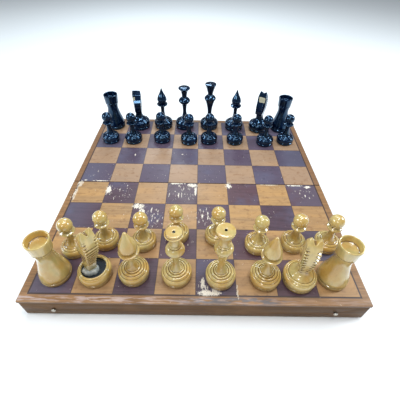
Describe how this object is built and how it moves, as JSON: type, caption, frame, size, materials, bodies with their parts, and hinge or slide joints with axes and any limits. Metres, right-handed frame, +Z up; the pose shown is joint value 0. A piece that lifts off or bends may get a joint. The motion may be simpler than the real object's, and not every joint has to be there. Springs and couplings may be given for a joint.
{
  "type": "chess set with board",
  "caption": "Wooden folding box chessboard set up for play with turned light-wood and black lacquered men.",
  "frame": {"origin": "on the table, under the middle of the opened board", "axes": "+Z up from the table, +X along the ranks from the a-file to the h-file, +Y from White towards Black"},
  "size_m": [0.38, 0.3844, 0.1191],
  "materials": {
    "white_wood": "varnished, semi-gloss",
    "black_lacquer": "high gloss black lacquer",
    "playing_face": "worn varnish over stained squares",
    "rail_wood": "satin",
    "steel": "dull plated"
  },
  "bodies": {
    "front_half": {"front_panel": "playing_face", "front_outer_rail": "rail_wood", "front_fold_rail": "rail_wood", "front_left_rail": "rail_wood", "front_right_rail": "rail_wood", "left_hinge_front_leaf": "steel", "right_hinge_front_leaf": "steel", "left_hinge_pin": "steel", "right_hinge_pin": "steel", "left_catch_pin": "steel", "right_catch_pin": "steel"},
    "rear_half": {"rear_panel": "playing_face", "rear_outer_rail": "rail_wood", "rear_fold_rail": "rail_wood", "rear_left_rail": "rail_wood", "rear_right_rail": "rail_wood", "left_hinge_rear_leaf": "steel", "right_hinge_rear_leaf": "steel", "left_hook_screw": "steel", "right_hook_screw": "steel"},
    "left_hook": {"left_hook": "steel"},
    "right_hook": {"right_hook": "steel"},
    "white_rook_a": {"white_rook_a": "white_wood"},
    "white_knight_b": {"white_knight_b_foot": "white_wood", "white_knight_b_head": "white_wood"},
    "white_bishop_c": {"white_bishop_c": "white_wood"},
    "white_queen": {"white_queen": "white_wood"},
    "white_king": {"white_king": "white_wood"},
    "white_bishop_f": {"white_bishop_f": "white_wood"},
    "white_knight_g": {"white_knight_g_foot": "white_wood", "white_knight_g_head": "white_wood"},
    "white_rook_h": {"white_rook_h": "white_wood"},
    "white_pawn_a": {"white_pawn_a": "white_wood"},
    "white_pawn_b": {"white_pawn_b": "white_wood"},
    "white_pawn_c": {"white_pawn_c": "white_wood"},
    "white_pawn_d": {"white_pawn_d": "white_wood"},
    "white_pawn_e": {"white_pawn_e": "white_wood"},
    "white_pawn_f": {"white_pawn_f": "white_wood"},
    "white_pawn_g": {"white_pawn_g": "white_wood"},
    "white_pawn_h": {"white_pawn_h": "white_wood"},
    "black_rook_a": {"black_rook_a": "black_lacquer"},
    "black_knight_b": {"black_knight_b_foot": "black_lacquer", "black_knight_b_head": "black_lacquer"},
    "black_bishop_c": {"black_bishop_c": "black_lacquer"},
    "black_queen": {"black_queen": "black_lacquer"},
    "black_king": {"black_king": "black_lacquer"},
    "black_bishop_f": {"black_bishop_f": "black_lacquer"},
    "black_knight_g": {"black_knight_g_foot": "black_lacquer", "black_knight_g_head": "black_lacquer"},
    "black_rook_h": {"black_rook_h": "black_lacquer"},
    "black_pawn_a": {"black_pawn_a": "black_lacquer"},
    "black_pawn_b": {"black_pawn_b": "black_lacquer"},
    "black_pawn_c": {"black_pawn_c": "black_lacquer"},
    "black_pawn_d": {"black_pawn_d": "black_lacquer"},
    "black_pawn_e": {"black_pawn_e": "black_lacquer"},
    "black_pawn_f": {"black_pawn_f": "black_lacquer"},
    "black_pawn_g": {"black_pawn_g": "black_lacquer"},
    "black_pawn_h": {"black_pawn_h": "black_lacquer"}
  },
  "joints": [
    {"name": "board_fold", "type": "hinge", "parent": "front_half", "child": "rear_half", "pos_m": [0, 0, 0.0016], "axis": [-1, 0, 0], "range_deg": [0, 180]},
    {"name": "hook_left_swing", "type": "hinge", "parent": "rear_half", "child": "left_hook", "pos_m": [-0.155, 0.1901, 0.0138], "axis": [0, 1, 0], "range_deg": [-20, 90]},
    {"name": "hook_right_swing", "type": "hinge", "parent": "rear_half", "child": "right_hook", "pos_m": [0.155, 0.1901, 0.0138], "axis": [0, -1, 0], "range_deg": [-20, 90]},
    {"name": "lift_white_rook_a", "type": "slide", "parent": "front_half", "child": "white_rook_a", "axis": [0, 0, 1], "range_m": [0, 0.1]},
    {"name": "lift_white_knight_b", "type": "slide", "parent": "front_half", "child": "white_knight_b", "axis": [0, 0, 1], "range_m": [0, 0.1]},
    {"name": "lift_white_bishop_c", "type": "slide", "parent": "front_half", "child": "white_bishop_c", "axis": [0, 0, 1], "range_m": [0, 0.1]},
    {"name": "lift_white_queen", "type": "slide", "parent": "front_half", "child": "white_queen", "axis": [0, 0, 1], "range_m": [0, 0.1]},
    {"name": "lift_white_king", "type": "slide", "parent": "front_half", "child": "white_king", "axis": [0, 0, 1], "range_m": [0, 0.1]},
    {"name": "lift_white_bishop_f", "type": "slide", "parent": "front_half", "child": "white_bishop_f", "axis": [0, 0, 1], "range_m": [0, 0.1]},
    {"name": "lift_white_knight_g", "type": "slide", "parent": "front_half", "child": "white_knight_g", "axis": [0, 0, 1], "range_m": [0, 0.1]},
    {"name": "lift_white_rook_h", "type": "slide", "parent": "front_half", "child": "white_rook_h", "axis": [0, 0, 1], "range_m": [0, 0.1]},
    {"name": "lift_white_pawn_a", "type": "slide", "parent": "front_half", "child": "white_pawn_a", "axis": [0, 0, 1], "range_m": [0, 0.1]},
    {"name": "lift_white_pawn_b", "type": "slide", "parent": "front_half", "child": "white_pawn_b", "axis": [0, 0, 1], "range_m": [0, 0.1]},
    {"name": "lift_white_pawn_c", "type": "slide", "parent": "front_half", "child": "white_pawn_c", "axis": [0, 0, 1], "range_m": [0, 0.1]},
    {"name": "lift_white_pawn_d", "type": "slide", "parent": "front_half", "child": "white_pawn_d", "axis": [0, 0, 1], "range_m": [0, 0.1]},
    {"name": "lift_white_pawn_e", "type": "slide", "parent": "front_half", "child": "white_pawn_e", "axis": [0, 0, 1], "range_m": [0, 0.1]},
    {"name": "lift_white_pawn_f", "type": "slide", "parent": "front_half", "child": "white_pawn_f", "axis": [0, 0, 1], "range_m": [0, 0.1]},
    {"name": "lift_white_pawn_g", "type": "slide", "parent": "front_half", "child": "white_pawn_g", "axis": [0, 0, 1], "range_m": [0, 0.1]},
    {"name": "lift_white_pawn_h", "type": "slide", "parent": "front_half", "child": "white_pawn_h", "axis": [0, 0, 1], "range_m": [0, 0.1]},
    {"name": "lift_black_rook_a", "type": "slide", "parent": "rear_half", "child": "black_rook_a", "axis": [0, 0, 1], "range_m": [0, 0.1]},
    {"name": "lift_black_knight_b", "type": "slide", "parent": "rear_half", "child": "black_knight_b", "axis": [0, 0, 1], "range_m": [0, 0.1]},
    {"name": "lift_black_bishop_c", "type": "slide", "parent": "rear_half", "child": "black_bishop_c", "axis": [0, 0, 1], "range_m": [0, 0.1]},
    {"name": "lift_black_queen", "type": "slide", "parent": "rear_half", "child": "black_queen", "axis": [0, 0, 1], "range_m": [0, 0.1]},
    {"name": "lift_black_king", "type": "slide", "parent": "rear_half", "child": "black_king", "axis": [0, 0, 1], "range_m": [0, 0.1]},
    {"name": "lift_black_bishop_f", "type": "slide", "parent": "rear_half", "child": "black_bishop_f", "axis": [0, 0, 1], "range_m": [0, 0.1]},
    {"name": "lift_black_knight_g", "type": "slide", "parent": "rear_half", "child": "black_knight_g", "axis": [0, 0, 1], "range_m": [0, 0.1]},
    {"name": "lift_black_rook_h", "type": "slide", "parent": "rear_half", "child": "black_rook_h", "axis": [0, 0, 1], "range_m": [0, 0.1]},
    {"name": "lift_black_pawn_a", "type": "slide", "parent": "rear_half", "child": "black_pawn_a", "axis": [0, 0, 1], "range_m": [0, 0.1]},
    {"name": "lift_black_pawn_b", "type": "slide", "parent": "rear_half", "child": "black_pawn_b", "axis": [0, 0, 1], "range_m": [0, 0.1]},
    {"name": "lift_black_pawn_c", "type": "slide", "parent": "rear_half", "child": "black_pawn_c", "axis": [0, 0, 1], "range_m": [0, 0.1]},
    {"name": "lift_black_pawn_d", "type": "slide", "parent": "rear_half", "child": "black_pawn_d", "axis": [0, 0, 1], "range_m": [0, 0.1]},
    {"name": "lift_black_pawn_e", "type": "slide", "parent": "rear_half", "child": "black_pawn_e", "axis": [0, 0, 1], "range_m": [0, 0.1]},
    {"name": "lift_black_pawn_f", "type": "slide", "parent": "rear_half", "child": "black_pawn_f", "axis": [0, 0, 1], "range_m": [0, 0.1]},
    {"name": "lift_black_pawn_g", "type": "slide", "parent": "rear_half", "child": "black_pawn_g", "axis": [0, 0, 1], "range_m": [0, 0.1]},
    {"name": "lift_black_pawn_h", "type": "slide", "parent": "rear_half", "child": "black_pawn_h", "axis": [0, 0, 1], "range_m": [0, 0.1]}
  ]
}
